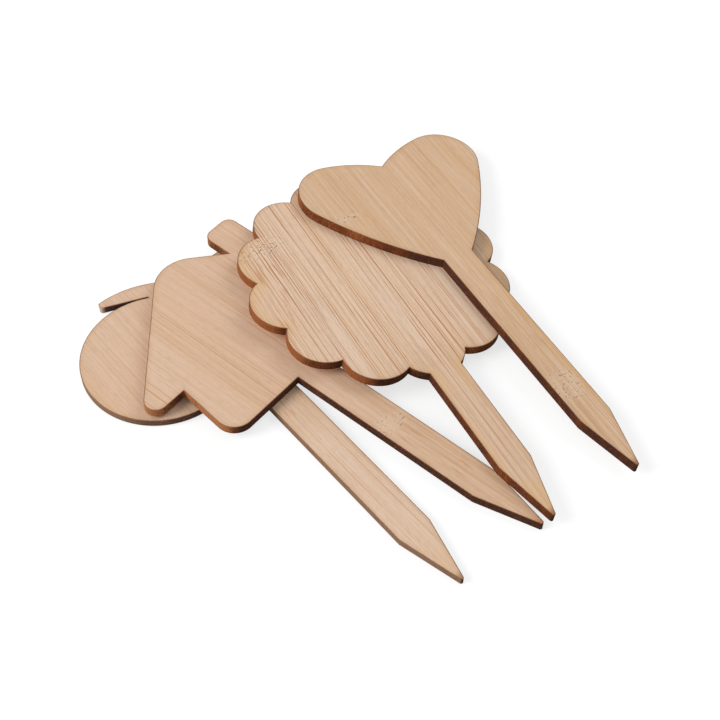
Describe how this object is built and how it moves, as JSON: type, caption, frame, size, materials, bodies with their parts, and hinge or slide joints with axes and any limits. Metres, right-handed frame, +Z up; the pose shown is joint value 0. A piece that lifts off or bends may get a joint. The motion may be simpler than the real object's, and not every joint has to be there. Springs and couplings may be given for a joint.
{
  "type": "plant label stake",
  "caption": "Loose pile of flat bamboo plant label stakes: pointed sticks with plain heart, scalloped, house and fruit shaped heads to write a plant's name on.",
  "frame": {"origin": "on the table, under the middle of the pile's bounding box", "axes": "+Z up from the table, -Y towards the viewer, +X to the viewer's right"},
  "size_m": [0.1484, 0.1548, 0.0124],
  "materials": {
    "bamboo": "sanded and bare, with scorched laser-cut edges"
  },
  "bodies": {
    "fruit": {"fruit_stake": "bamboo"},
    "house": {"house_stake": "bamboo"},
    "scalloped": {"scalloped_stake": "bamboo"},
    "heart": {"heart_stake": "bamboo"}
  },
  "joints": [
    {"name": "lift_house", "type": "slide", "parent": "fruit", "child": "house", "axis": [0, 0, 1], "range_m": [0, 0.03]},
    {"name": "lift_scalloped", "type": "slide", "parent": "house", "child": "scalloped", "axis": [0, 0, 1], "range_m": [0, 0.03]},
    {"name": "lift_heart", "type": "slide", "parent": "scalloped", "child": "heart", "axis": [0, 0, 1], "range_m": [0, 0.03]}
  ]
}
